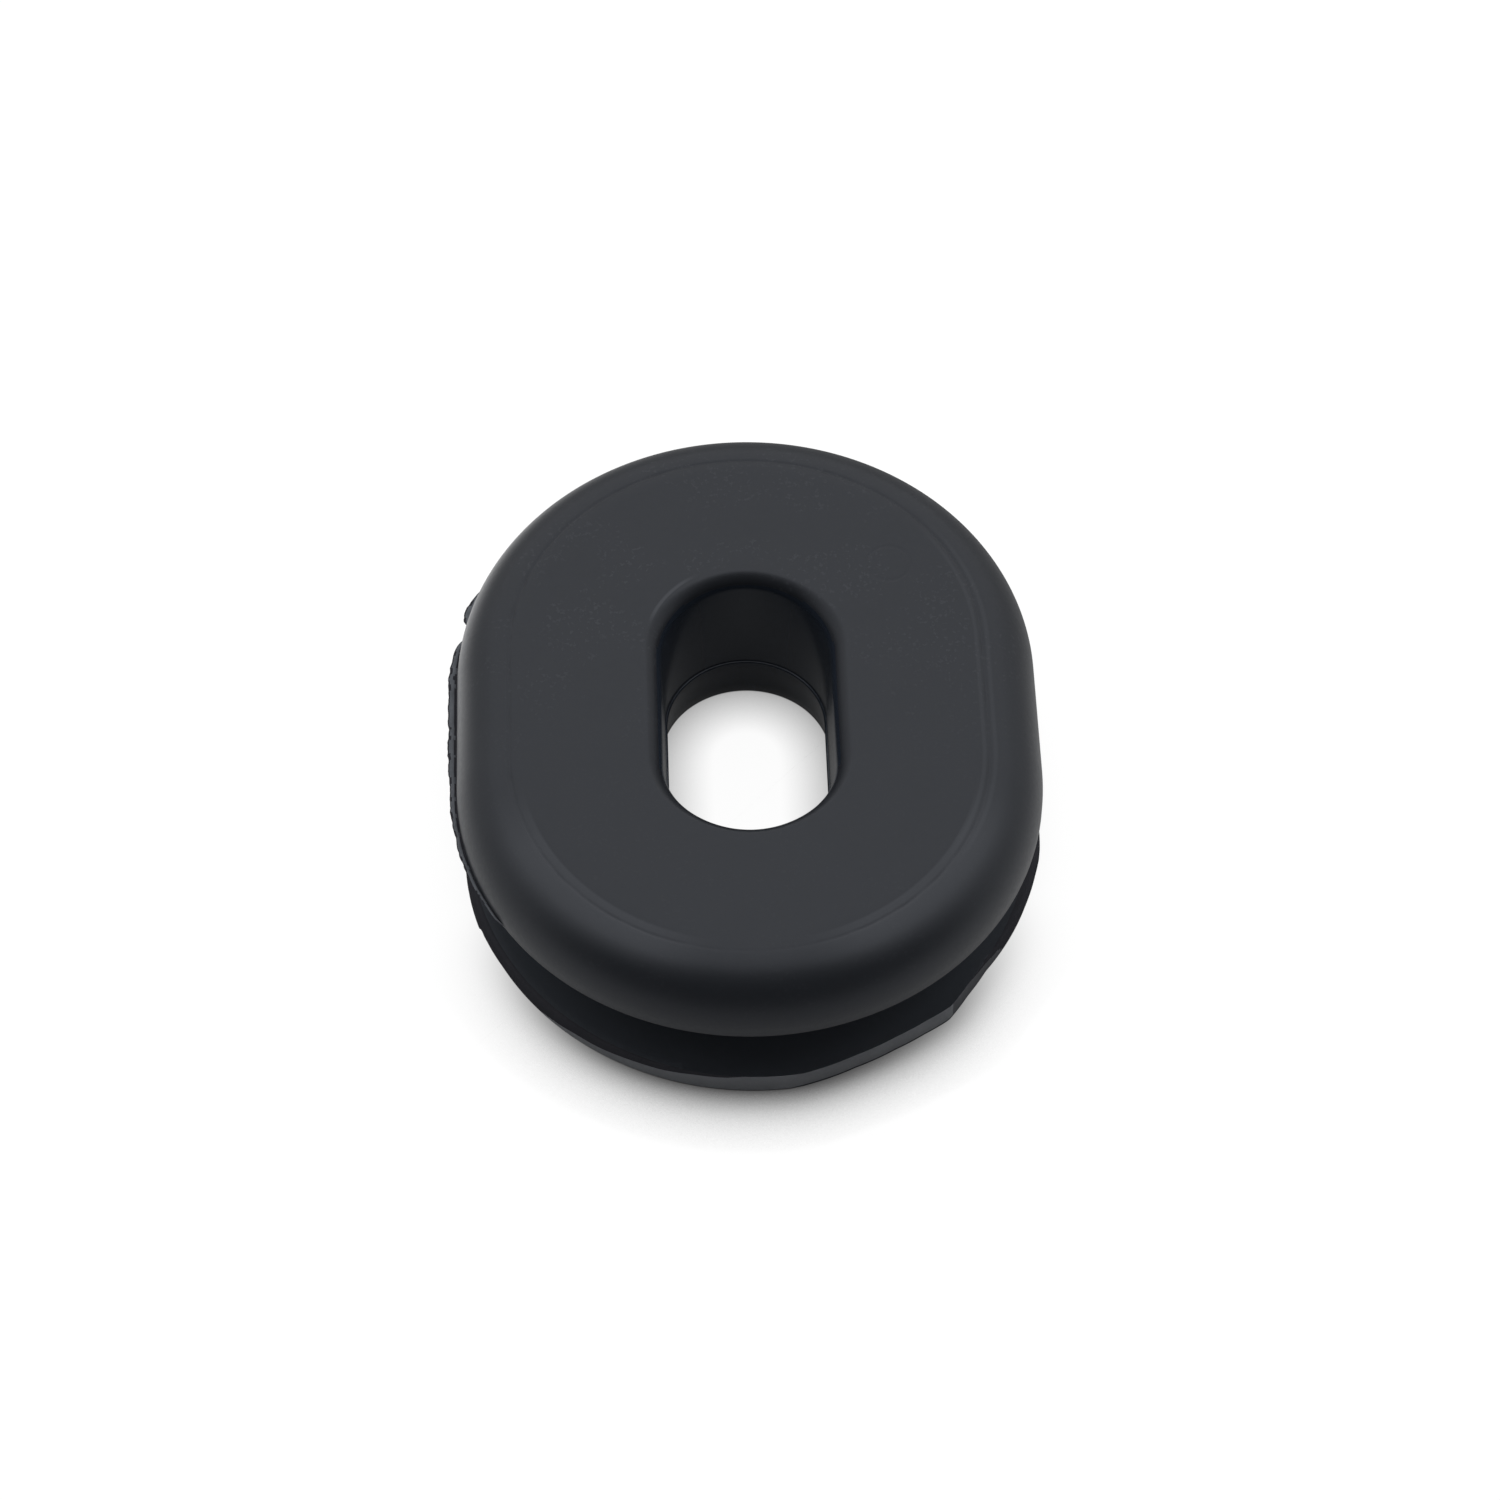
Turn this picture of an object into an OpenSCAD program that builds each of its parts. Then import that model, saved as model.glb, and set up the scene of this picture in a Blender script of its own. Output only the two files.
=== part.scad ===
// Oblong rubber grommet: a waist between two flanges, with a slot down the middle.
// It stands on its lower flange. The slot runs along Z and the long sides run along Y.

/* [Waist and groove] */
// Width of the waist across its flat sides, which is the width of the panel's hole
waist_w = 17; // [14:0.5:28]
// Length of the flat sides, shared by the waist, the upper flange and the slot
flat_l = 5.3; // [3:0.1:16]
// Height of the groove between the flanges, which takes the panel's edge
groove_h = 4.1; // [2:0.1:8]
// Radius of the fillets at the root of the groove
root_r = 0.5; // [0.2:0.1:0.9]

/* [Upper flange] */
// Reach of the upper flange past the waist
upper_reach = 3.5; // [3:0.1:6]
// Thickness of the upper flange
upper_t = 2.8; // [2.6:0.1:5]
// Radius of the rounded top edge
edge_r = 2.4; // [1:0.1:2.5]

/* [Lower flange] */
// Reach of the lower flange past the waist's flat sides
lower_side_reach = 3.5; // [2.5:0.1:5]
// Reach of the lower flange past the waist's round ends
lower_end_reach = 2.85; // [2:0.05:5]
// Thickness of the lower flange
lower_t = 1.1; // [0.8:0.1:2.4]
// Radius of the lower flange's rounded top edge
lower_edge_r = 0.25; // [0.1:0.05:0.5]
// Sideways offset of the lower flange, from the mismatch of the mould halves
lower_shift = 0.17; // [0:0.01:0.4]

/* [Slot] */
// Width of the slot just below its rounded mouth
slot_w = 7; // [5.6:0.1:9]
// Radius of the rounded mouth
mouth_r = 0.9; // [0.3:0.05:1]
// Draft of each wall between the mouth and the step
slot_draft = 0.1; // [0:0.01:0.3]
// Width of the ledge where the two mould cores meet
step_ledge = 0.1; // [0.05:0.01:0.3]
// Height of that ledge above the underside
step_z = 2.5; // [1:0.1:3.5]
// Flare of each wall between the ledge and the underside
foot_flare = 0.3; // [0.1:0.05:0.6]
// Offset of the slot along the flat sides
slot_shift = -0.17; // [-0.4:0.01:0.4]

/* [Moulding marks] */
// Distance from the flange's edge to the middle of the fine line around the top face
line_inset = 2.3; // [1.8:0.1:3]
// Width of that line
line_w = 0.3; // [0.2:0.05:0.5]
// Depth of that line
line_d = 0.05; // [0.02:0.01:0.1]
// Radius of the round pin mark on the top face
pin_r = 0.95; // [0.5:0.05:1.2]
// Depth of the fine ring around the pin mark
pin_d = 0.03; // [0.02:0.01:0.06]
// Thickness of the torn flash left on both flanges
flash_t = 0.15; // [0.1:0.01:0.3]
// Reach of the flash at its longest tip
flash_reach = 0.48; // [0.3:0.02:0.8]
// Deepest cut where the rim of the lower flange was trimmed by hand
trim_depth = 0.57; // [0.2:0.01:0.8]

/* [Hidden] */
$fn = 96;

half_l = flat_l / 2;
waist_r = waist_w / 2;
upper_r = waist_r + upper_reach;
lower_r = waist_r + lower_side_reach;
// The lower flange's flat sides take up what its ends don't reach
lower_half_l = half_l + lower_end_reach - lower_side_reach;
groove_top = lower_t + groove_h;
height = groove_top + upper_t;

slot_r = slot_w / 2;
ledge_r = slot_r - slot_draft;
lip_r = ledge_r - step_ledge;
foot_r = lip_r + foot_flare;

// Length by which a cutter or a joined piece runs past its face
past = 0.5;

// A fillet or a rounded edge never takes up the whole wall that it is cut in
edge_round = min(edge_r, upper_t - 0.2);
lower_edge_round = min(lower_edge_r, lower_t - 0.2);
root_round = min(root_r, groove_h / 2 - 0.2);

// The pin mark sits about half way between the slot's mouth and the fine line, off the far end
line_r = upper_r - line_inset;
pin_out = (slot_r + mouth_r + line_r) / 2 + 0.3;
pin_turn = 33;
pin_ring = 0.15;

// The torn flash: for each tip its place along the rim, counted from the middle of the left
// side, its share of the longest reach, and the share left in the notch that follows it
flash_tips = [
    [-6.2, 0.6, 0.42],
    [-3.6, 0.48, 0.5],
    [-2.1, 0.68, 0.66],
    [-0.6, 0.84, 0.7],
    [1.6, 0.9, 0.68],
    [3.5, 0.86, 0.27],
    [6.8, 1, 0.5]
];
// The flash fades out at these two places along the rim, where its ends sink into it by a depth
flash_ends = [-9.4, 8.1];
fade = 0.1;

// Where the fin on the lower flange starts and is torn off, and its share of the longest reach
fin_ends = [2, -5.8];
fin_share = 0.42;

// The two trimming cuts, which meet in a corner at -49 degrees. Each point has its direction from
// the middle of the lower flange's near end, and its share of the deepest cut. Both ends lie outside.
trim_line = [
    [-89, -0.2],
    [-80, 0.24],
    [-71, 0.62],
    [-62, 0.75],
    [-55, 0.66],
    [-49, 0.43],
    [-42, 0.84],
    [-35, 1],
    [-26, 0.75],
    [-17, 0.5],
    [-9, 0.2],
    [-1, -0.2]
];

// An oblong with flat sides along Y and round ends
module oblong(r, half) {
    for (y = [-half, half])
        translate([0, y])
            circle(r);
    square([2 * r, 2 * half], center = true);
}

// Carries a half section around an oblong: its X is the distance out, and its Y the height
module sweep_oblong(half) {
    for (turn = [0, 180])
        rotate([0, 0, turn]) {
            translate([0, half, 0])
                rotate_extrude(angle = 180)
                    children();
            rotate([90, 0, 0])
                linear_extrude(2 * half, center = true)
                    children();
        }
}

// Cutter that rounds the outer corner at a point of a half section
module corner_cut(corner, r) {
    translate(corner - [r, r])
        difference() {
            square(r + past);
            circle(r);
        }
}

// Fillet for an inner corner between the X and Y axes
module root_fillet() {
    difference() {
        translate([-past, -past])
            square(root_round + past);
        translate([root_round, root_round])
            circle(root_round);
    }
}

// Half section of the waist and the upper flange, with the root fillets and the rounded edge
module body_section() {
    translate([0, lower_t - past])
        square([waist_r, groove_h + 2 * past]);
    translate([waist_r, lower_t])
        root_fillet();
    translate([waist_r, groove_top])
        mirror([0, 1])
            root_fillet();
    difference() {
        translate([0, groove_top])
            square([upper_r, upper_t]);
        corner_cut([upper_r, height], edge_round);
    }
}

// Half section of the slot: foot flare, ledge, drafted wall and rounded mouth
module slot_section() {
    difference() {
        polygon([
            [0, -past],
            [foot_r, -past],
            [foot_r, 0],
            [lip_r, step_z],
            [ledge_r, step_z],
            [slot_r, height - mouth_r],
            [slot_r + mouth_r, height - mouth_r],
            [slot_r + mouth_r, height + past],
            [0, height + past]
        ]);
        translate([slot_r + mouth_r, height - mouth_r])
            circle(mouth_r);
    }
}

// A point beside the left rim of an oblong, at a distance along the rim and a distance out
function rim_point(r, half, along, out) =
    let (past_flat = max(abs(along) - half, 0), turn = past_flat / r * 180 / PI)
    [-(r + out) * cos(turn), sign(along) * (min(abs(along), half) + (r + out) * sin(turn))];

// Torn flash on the lower edge of the upper flange
module upper_flash() {
    last = len(flash_tips) - 1;
    sunk = -fade / flash_reach;
    rim = [
        [flash_ends[0], sunk],
        for (i = [0 : last]) each [
            [flash_tips[i][0], flash_tips[i][1]],
            [(flash_tips[i][0] + (i < last ? flash_tips[i + 1][0] : flash_ends[1])) / 2, flash_tips[i][2]]
        ],
        [flash_ends[1], sunk]
    ];
    outer = [for (p = rim) rim_point(upper_r, half_l, p[0], p[1] * flash_reach)];
    inner = [for (i = [len(rim) - 1 : -1 : 0]) rim_point(upper_r, half_l, rim[i][0], -past)];
    translate([0, 0, groove_top])
        linear_extrude(flash_t)
            polygon(concat(outer, inner));
}

// Thin fin on the bottom edge of the lower flange, torn off square at one end
module lower_fin() {
    steps = 8;
    run = fin_ends[1] - fin_ends[0];
    places = [for (i = [0 : steps]) fin_ends[0] + run * i / steps];
    outer = [for (i = [0 : steps])
        let (out = i == 0 ? -fade : min(i, 2) / 2 * fin_share * flash_reach)
        rim_point(lower_r, lower_half_l, places[i], out)];
    inner = [for (i = [steps : -1 : 0]) rim_point(lower_r, lower_half_l, places[i], -past)];
    translate([lower_shift, 0, 0])
        linear_extrude(flash_t)
            polygon(concat(outer, inner));
}

// Half section of the lower flange, with its rounded top edge
module lower_section() {
    difference() {
        square([lower_r, lower_t]);
        corner_cut([lower_r, lower_t], lower_edge_round);
    }
}

// Cutter along the trimming cuts, open towards the outside
module trim_cut() {
    last = len(trim_line) - 1;
    cut = [for (p = trim_line) (lower_r - p[1] * trim_depth) * [cos(p[0]), sin(p[0])]];
    outside = [for (i = [last : -1 : 0]) (lower_r + 2 * past) * [cos(trim_line[i][0]), sin(trim_line[i][0])]];
    translate([0, -lower_half_l, -past])
        linear_extrude(lower_t + 2 * past)
            polygon(concat(cut, outside));
}

// Lower flange, with its hand-trimmed rim at the near right
module lower_flange() {
    translate([lower_shift, 0, 0])
        difference() {
            sweep_oblong(lower_half_l)
                lower_section();
            trim_cut();
        }
}

// Fine line around the top face, and the ring of the pin mark
module top_marks() {
    translate([0, 0, height - line_d])
        linear_extrude(past)
            difference() {
                oblong(line_r + line_w / 2, half_l);
                oblong(line_r - line_w / 2, half_l);
            }
    translate([0, half_l, height - pin_d])
        rotate(pin_turn)
            translate([pin_out, 0])
                linear_extrude(past)
                    difference() {
                        circle(pin_r);
                        circle(pin_r - pin_ring);
                    }
}

module grommet() {
    color([0.13, 0.14, 0.15])
        difference() {
            union() {
                sweep_oblong(half_l)
                    body_section();
                lower_flange();
                upper_flash();
                lower_fin();
            }
            translate([0, slot_shift, 0])
                sweep_oblong(half_l)
                    slot_section();
            top_marks();
        }
}

grommet();
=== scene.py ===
"""Looks of an oblong rubber grommet: one moulded piece, on a pale floor under soft studio light."""

import logging
import math
from dataclasses import dataclass, field
from enum import Enum
from typing import NamedTuple

import bmesh
import bpy
from mathutils import Matrix, Vector, noise


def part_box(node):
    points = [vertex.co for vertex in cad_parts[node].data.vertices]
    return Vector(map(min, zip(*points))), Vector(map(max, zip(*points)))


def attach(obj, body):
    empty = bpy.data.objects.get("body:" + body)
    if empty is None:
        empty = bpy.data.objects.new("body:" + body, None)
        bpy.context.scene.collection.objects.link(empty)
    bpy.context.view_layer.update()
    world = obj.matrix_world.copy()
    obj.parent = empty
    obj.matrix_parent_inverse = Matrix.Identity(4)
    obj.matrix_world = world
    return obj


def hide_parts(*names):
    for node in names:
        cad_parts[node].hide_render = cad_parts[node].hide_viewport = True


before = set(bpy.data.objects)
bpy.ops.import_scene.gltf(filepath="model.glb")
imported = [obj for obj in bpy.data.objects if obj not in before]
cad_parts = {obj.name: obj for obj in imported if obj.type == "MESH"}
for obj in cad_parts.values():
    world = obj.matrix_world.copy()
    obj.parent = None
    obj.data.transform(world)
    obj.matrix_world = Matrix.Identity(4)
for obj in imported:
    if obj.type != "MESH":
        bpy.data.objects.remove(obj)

MM = 0.001
# Length, in millimetres, of the flat sides that the upper flange, the waist and the slot share
FLAT_SIDE = 5.3
# Distance, in millimetres, within which two places count as one
TOUCH = 0.01
LOG = logging.getLogger("grommet")

Pair = tuple[float, float]
Triple = tuple[float, float, float]
Knots = tuple[Pair, ...]


def blend(low: float, high: float, value: float) -> float:
    """Rises smoothly from 0 where value is low to 1 where it is high."""
    share = min(max((value - low) / (high - low), 0.0), 1.0)
    return share * share * (3 - 2 * share)


def hump(distance: float, width: float) -> float:
    """A rounded hump of height 1 at distance 0, which is nearly gone one width away."""
    return math.exp(-4 * (distance / width) ** 2)


def between(knots: Knots, place: float) -> float:
    """Reads a value off a line through knots, level beyond its ends.

    Args:
        knots: Places in rising order, each with its value.
        place: Where to read.

    Returns:
        The value there.
    """
    for (low, first), (high, second) in zip(knots, knots[1:]):
        if place < high:
            return first + (second - first) * max(place - low, 0.0) / (high - low)
    return knots[-1][1]


class RimPlace(NamedTuple):
    """Where a point lies by an oblong: its distance out from the middle line, and along the rim."""

    out: float
    along: float


@dataclass(frozen=True)
class Oblong:
    """An oblong with flat sides along Y and round ends, in millimetres.

    Args:
        radius: Half the width, which is also the radius of the round ends.
        half_flat: Half the length of the flat sides.
    """

    radius: float
    half_flat: float

    def place(self, x: float, y: float) -> RimPlace:
        """Finds a point's distance out, and its way along the rim from the middle of the left side.

        Args:
            x: The point's X.
            y: The point's Y.

        Returns:
            The place. Its way along is positive towards the far end.
        """
        beyond = abs(y) - self.half_flat
        if beyond <= 0:
            along = abs(y) if x < 0 else 2 * self.half_flat + math.pi * self.radius - abs(y)
            return RimPlace(abs(x), math.copysign(along, y))
        along = self.half_flat + self.radius * math.atan2(beyond, -x)
        return RimPlace(math.hypot(x, beyond), math.copysign(along, y))

    def outward(self, x: float, y: float) -> Vector:
        """Gives the flat direction that points straight out of the rim beside a point."""
        beyond = max(abs(y) - self.half_flat, 0.0)
        return Vector((x, math.copysign(beyond, y), 0)).normalized()


@dataclass(frozen=True)
class Corner:
    """A corner of the moulding's half section, in millimetres.

    Args:
        out: Distance out from the middle line of the oblong.
        height: Height above the floor.
        round_by: Radius of its rounding, or 0 for a plain point.
        steps: Segments in that rounding.
    """

    out: float
    height: float
    round_by: float = 0.0
    steps: int = 1


@dataclass(frozen=True)
class RailRun:
    """One stretch of the path that the half section is carried along.

    Args:
        steps: Number of strips that the stretch is made in.
        turn: Degrees turned about an end's centre, or 0 for a straight stretch.
        end: 1 where it is at the far end, or runs towards it, and -1 for the near end.
    """

    steps: int
    turn: float = 0.0
    end: int = 1


class Skin(Enum):
    """The kinds of surface on the moulding, with their order among its materials."""

    MOULDED = 0
    RECESS = 1
    BORE = 2
    DULL = 3
    CUT = 4
    WORN = 5
    TORN = 6


@dataclass
class GrommetMoulding:
    """The whole grommet as one closed mesh, in millimetres until it is finished.

    Angles are in degrees about the centre of the lower flange's near end, from the right side.
    Places along a rim are counted from the middle of its left side towards the far end.

    Args:
        height: Height of the flat top.
        rim: Outline of the upper flange.
        waist_radius: Half the width of the waist.
        groove_low: Height of the groove's floor.
        groove_top: Height of the upper flange's underside.
        edge_round: Radius of the upper flange's top edge.
        root_round: Radius of the fillets at the groove's root.
        flange_half_flat: Half the length of the lower flange's flat sides.
        flange_shift: Sideways offset of the lower flange.
        flange_soft_edge: Radius that its top edge is drawn with.
        flange_edges: Radius that its top edge is given, by angle.
        cut_tops: Height up to which its rim was cut, by angle.
        cut_row: Height of the row of points that moves to the cut's top.
        cut_start: Angle at which the cut starts.
        shaded_cut_start: Angle at which the cut turns into a darker copy of its face, a painted shade.
        mouth_round: Radius that the slot's mouth is drawn with.
        mouth_side_round: Radius that it is given at the slot's sides.
        mouth_far_round: Its radius at the far end.
        mouth_near_round: Its radius at the near end.
        mouth_lip_round: Radius of the tight lip that its rounding starts with.
        mouth_lip_lean: Slope at which that lip ends, in degrees.
        mouth_lip_turn: How far round the drawn rounding that lip goes, in degrees.
        mouth_reach: How far around the mouth the shape gives way to its rounding.
        bore_depth: Depth at which the slot's smooth wall starts.
        slot_radius: Half the slot's width below its mouth.
        ledge_radius: Half its width at the ledge.
        lip_radius: Half its width under the ledge.
        foot_radius: Half its width at the underside.
        ledge_height: Height of the ledge.
        slot_shift: Offset of the slot along its length.
        slot_hold: Distances out between which that offset dies away.
        line_inset: Distance from the rim in to the fine line.
        line_depth: Depth of that line.
        line_width: Width of that line.
        shoulder_width: Width of the shallow shoulder inside the line.
        shoulder_drop: How far that shoulder drops.
        pin_centre: Middle of the round pin mark on the top.
        pin_radius: Radius of its ring.
        pin_depth: Depth of its ring.
        pin_width: Width of its ring.
        flash_thickness: Thickness of the torn flash.
        flash_outline: Reach of the flash, by place along the rim.
        flash_limit: The longest reach that it may have.
        fin_outline: Reach of the fin on the lower flange, by place along the rim.
        trim_depth: Deepest cut of the lower flange's rim.
        trim_line: Share of that depth, by angle.
        line_strip: Longest strip of the section beside the fine line.
        top_strip: Longest strip on the rest of the top.
        rim_strip: Longest strip on the lower flange's rim.
        groove_strip: Longest strip on the groove's floor.
        plain_strip: Longest strip elsewhere.
        runs: The path that the half section is carried along.
        mesh: The mesh.
    """

    height: float
    rim: Oblong
    waist_radius: float = 8.5
    groove_low: float = 1.1
    groove_top: float = 5.2
    edge_round: float = 2.4
    root_round: float = 0.5
    flange_half_flat: float = 2.0
    flange_shift: float = 0.17
    flange_soft_edge: float = 0.6
    flange_edges: Knots = (
        (-150, 0.25), (-117, 0.2), (-100, 0.12), (-64, 0.06), (-62, 0.05), (-60, 0.22),
        (-52, 0.2), (-49, 0.3), (-43, 0.45), (-35, 0.7), (-25, 0.8), (0, 0.5),
    )
    cut_tops: Knots = (
        (-140, 0.0), (-136, 0.2), (-129, 0.42), (-122, 0.52), (-116, 0.62), (-109, 0.73),
        (-103, 0.85), (-97, 0.95), (-91, 1.2), (-46, 1.2), (-41, 0.95), (-36, 0.72), (-31, 0.5),
        (-28, 0.0),
    )
    cut_row: float = 0.3
    cut_start: float = -140
    shaded_cut_start: float = -48
    mouth_round: float = 0.9
    mouth_side_round: float = 1.1
    mouth_far_round: float = 0.8
    mouth_near_round: float = 0.76
    mouth_lip_round: float = 0.25
    mouth_lip_lean: float = 28
    mouth_lip_turn: float = 19
    mouth_reach: float = 3
    bore_depth: float = 0.43
    slot_radius: float = 3.5
    ledge_radius: float = 3.4
    lip_radius: float = 3.3
    foot_radius: float = 3.6
    ledge_height: float = 2.5
    slot_shift: float = -0.17
    slot_hold: Pair = (4.5, 7.5)
    line_inset: float = 2.25
    line_depth: float = 0.05
    line_width: float = 0.14
    shoulder_width: float = 0.4
    shoulder_drop: float = 0.04
    pin_centre: Pair = (6.1, 6.66)
    pin_radius: float = 0.9
    pin_depth: float = 0.02
    pin_width: float = 0.12
    flash_thickness: float = 0.15
    flash_outline: Knots = (
        (-9.6, 0.0), (-9.0, 0.14), (-7.2, 0.22), (-5.4, 0.26), (-4.8, 0.22), (-4.2, 0.28),
        (-2.4, 0.32), (-1.2, 0.36), (-1.0, 0.34), (-0.8, 0.36), (-0.65, 0.41), (0.1, 0.42),
        (0.3, 0.39), (1.3, 0.4), (1.45, 0.41), (2.2, 0.4), (2.7, 0.39), (3.1, 0.4), (3.3, 0.43),
        (3.8, 0.4), (5.0, 0.27), (5.35, 0.05), (5.95, 0.04), (6.25, 0.34), (6.8, 0.47),
        (7.3, 0.36), (7.9, 0.24), (8.7, 0.13), (9.5, 0.05), (10.2, 0.0),
    )
    flash_limit: float = 0.43
    fin_outline: Knots = (
        (-8.0, 0.0), (-7.0, 0.04), (-5.85, 0.08), (-5.7, 0.19), (0.0, 0.2), (2.0, 0.0),
    )
    trim_depth: float = 0.57
    trim_line: Knots = (
        (-89, -0.2), (-80, 0.24), (-71, 0.62), (-62, 0.75), (-55, 0.66), (-49, 0.43),
        (-42, 0.84), (-35, 1.0), (-26, 0.75), (-17, 0.5), (-9, 0.2), (-1, -0.2),
    )
    line_strip: float = 0.06
    top_strip: float = 0.28
    rim_strip: float = 0.07
    groove_strip: float = 0.35
    plain_strip: float = 0.6
    runs: tuple[RailRun, ...] = (
        RailRun(60, 90),
        RailRun(40, 60),
        RailRun(60, 30),
        RailRun(48, 0, -1),
        RailRun(72, 36, -1),
        RailRun(90, 54, -1),
        RailRun(100, 90, -1),
        RailRun(18),
    )
    mesh: bmesh.types.BMesh = field(default_factory=bmesh.new, repr=False)

    def corners(self) -> list[Corner]:
        """Lists the half section's corners, from the slot's foot up and over to the underside."""
        rim = self.rim.radius
        return [
            Corner(self.foot_radius, 0, 0.1, 2),
            Corner(self.lip_radius, self.ledge_height, 0.09, 5),
            Corner(self.ledge_radius, self.ledge_height),
            Corner(self.slot_radius + 0.02, self.height, self.mouth_round, 14),
            Corner(rim, self.height, self.edge_round, 48),
            Corner(rim, self.groove_top, 0.02, 1),
            Corner(self.waist_radius, self.groove_top, self.root_round, 5),
            Corner(self.waist_radius, self.groove_low, self.root_round, 5),
            Corner(rim - self.flange_soft_edge - 0.1, self.groove_low),
            Corner(rim, self.groove_low, self.flange_soft_edge, 9),
            Corner(rim, self.cut_row),
            Corner(rim, 0, 0.08, 3),
        ]

    def strip_length(self, middle: Vector) -> float:
        """Gives the longest strip that the section may have beside a point of it.

        Args:
            middle: The middle of one of the section's edges.

        Returns:
            The longest length, in millimetres.
        """
        inset, low = self.rim.radius - middle.x, self.groove_low
        if middle.z > self.height - TOUCH:
            return self.line_strip if inset < self.line_inset + 0.5 else self.top_strip
        if inset < TOUCH and middle.z > self.groove_top:
            return self.flash_thickness / 7
        if inset < 0.2 and abs(middle.z - self.groove_top) < TOUCH:
            return self.flash_thickness / 4
        if inset < 0.3 and middle.z < low:
            return self.rim_strip
        if middle.x > self.waist_radius and middle.z < low + TOUCH:
            return self.groove_strip
        return self.plain_strip

    def draw_section(self) -> list[bmesh.types.BMEdge]:
        """Draws the half section at the right side, with its corners rounded.

        Returns:
            The edges of its closed outline.
        """
        bm = self.mesh
        y = self.rim.half_flat
        corners = self.corners()
        points = [bm.verts.new((c.out, y, c.height)) for c in corners]
        outline = [bm.edges.new(pair) for pair in zip(points, points[1:] + points[:1])]
        bmesh.ops.edgeloop_fill(bm, edges=outline)
        for corner, point in zip(corners, points):
            if corner.round_by:
                bmesh.ops.bevel(
                    bm, geom=[point], offset=corner.round_by, offset_type="OFFSET",
                    segments=corner.steps, profile=0.5, affect="VERTICES", material=-1,
                )
        bmesh.ops.delete(bm, geom=list(bm.faces), context="FACES_ONLY")
        for edge in list(bm.edges):
            middle = (edge.verts[0].co + edge.verts[1].co) / 2
            cuts = math.ceil(edge.calc_length() / self.strip_length(middle)) - 1
            if cuts > 0:
                bmesh.ops.subdivide_edges(bm, edges=[edge], cuts=cuts)
        return list(bm.edges)

    def sweep(self) -> None:
        """Carries the half section all round the oblong, and closes it on itself."""
        bm = self.mesh
        section = self.draw_section()
        last = section + list(dict.fromkeys(v for e in section for v in e.verts))
        for run in self.runs:
            step = Vector((0, run.end * 2 * self.rim.half_flat / run.steps, 0))
            made = bmesh.ops.spin(
                bm, geom=last, cent=(0, run.end * self.rim.half_flat, 0), axis=(0, 0, 1),
                dvec=(0, 0, 0) if run.turn else step, angle=math.radians(run.turn),
                steps=run.steps, use_merge=False, use_duplicate=False,
            )
            last = made["geom_last"]
        bmesh.ops.remove_doubles(bm, verts=bm.verts, dist=0.001)
        bmesh.ops.recalc_face_normals(bm, faces=bm.faces)

    def ragged(self, along: float, outline: Knots) -> float:
        """Gives the reach of torn rubber at one place along the rim, with its fine raggedness.

        Args:
            along: The place along the rim.
            outline: Reaches by place.

        Returns:
            The reach past the rim.
        """
        reach = between(outline, along)
        coarse = 0.05 * noise.noise(Vector((along * 1.9, 0.3, 0.7)))
        fine = 0.03 * noise.noise(Vector((along * 5.3, 1.3, 2.7)))
        return min(reach + (coarse + fine) * blend(0.02, 0.15, reach), self.flash_limit)

    def pull_flash(self) -> None:
        """Pulls the torn flash out of the left side of the upper flange's lower edge."""
        rim, low, thick = self.rim.radius, self.groove_top, self.flash_thickness
        for vert in self.mesh.verts:
            x, y, z = vert.co
            if x > 0 or not low - TOUCH < z < low + thick + TOUCH:
                continue
            out, along = self.rim.place(x, y)
            reach = self.ragged(along, self.flash_outline)
            if out < rim - thick - TOUCH or reach <= 0:
                continue
            on_wall = out > rim - 0.005
            share = (low + thick - z) / (thick * 0.85) if on_wall else (out - rim + thick) / thick
            share = min(max(share, 0.0), 1.0)
            settle = blend(0, 0.05, reach)
            ripple = 0.02 * noise.noise(Vector((x * 2.1, y * 2.1, 4.0 + share)))
            if on_wall and z > low + thick * 0.1:
                flat = low + thick * (1 - 0.5 * share * share) - 0.05 * hump(share - 0.2, 0.3)
            else:
                flat = low + 0.02 * share
            vert.co += self.rim.outward(x, y) * (rim - out + share * reach) * settle
            vert.co.z += (flat + ripple * share - z) * settle

    def cut_top(self, turn: float) -> float:
        """Gives the height up to which the rim was cut, at an angle."""
        return between(self.cut_tops, turn) + 0.04 * noise.noise(Vector((turn * 0.15, 2.0, 8.0)))

    def seat_lower_flange(self) -> None:
        """Gives the lower flange its shorter oblong, its offset, its edges and its cuts."""
        reach = self.rim.radius - self.waist_radius
        drop = self.rim.half_flat - self.flange_half_flat
        centre = Vector((self.flange_shift, -self.flange_half_flat, 0))
        soft, top, thin = self.flange_soft_edge, self.groove_low, self.flash_thickness
        for vert in self.mesh.verts:
            x, y, z = vert.co
            out, along = self.rim.place(x, y)
            if z > self.groove_top - 1 or out <= self.waist_radius:
                continue
            share = min((out - self.waist_radius) / reach, 1.0)
            squeeze = min(max(y / self.rim.half_flat, -1.0), 1.0)
            vert.co.y -= squeeze * drop * share
            vert.co.x += self.flange_shift * share
            arm = vert.co - centre
            near = arm.y < 0
            turn = math.degrees(math.atan2(arm.y, arm.x)) if near else (0 if x > 0 else -180)
            edge = between(self.flange_edges, turn)
            across, above = out - (self.rim.radius - soft), z - (top - soft)
            new_out = out
            if across > -1e-6 and above > -1e-6:
                lean = math.atan2(across, above)
                new_out = self.rim.radius - edge + edge * math.sin(lean)
                vert.co.z = top - edge + edge * math.cos(lean)
            elif across > soft - 0.1 and z > thin:
                row = min(max(self.cut_top(turn), self.cut_row - 0.05), top - edge - 0.03)
                moved = ((thin, thin), (self.cut_row, row), (top - soft, top - edge))
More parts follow.
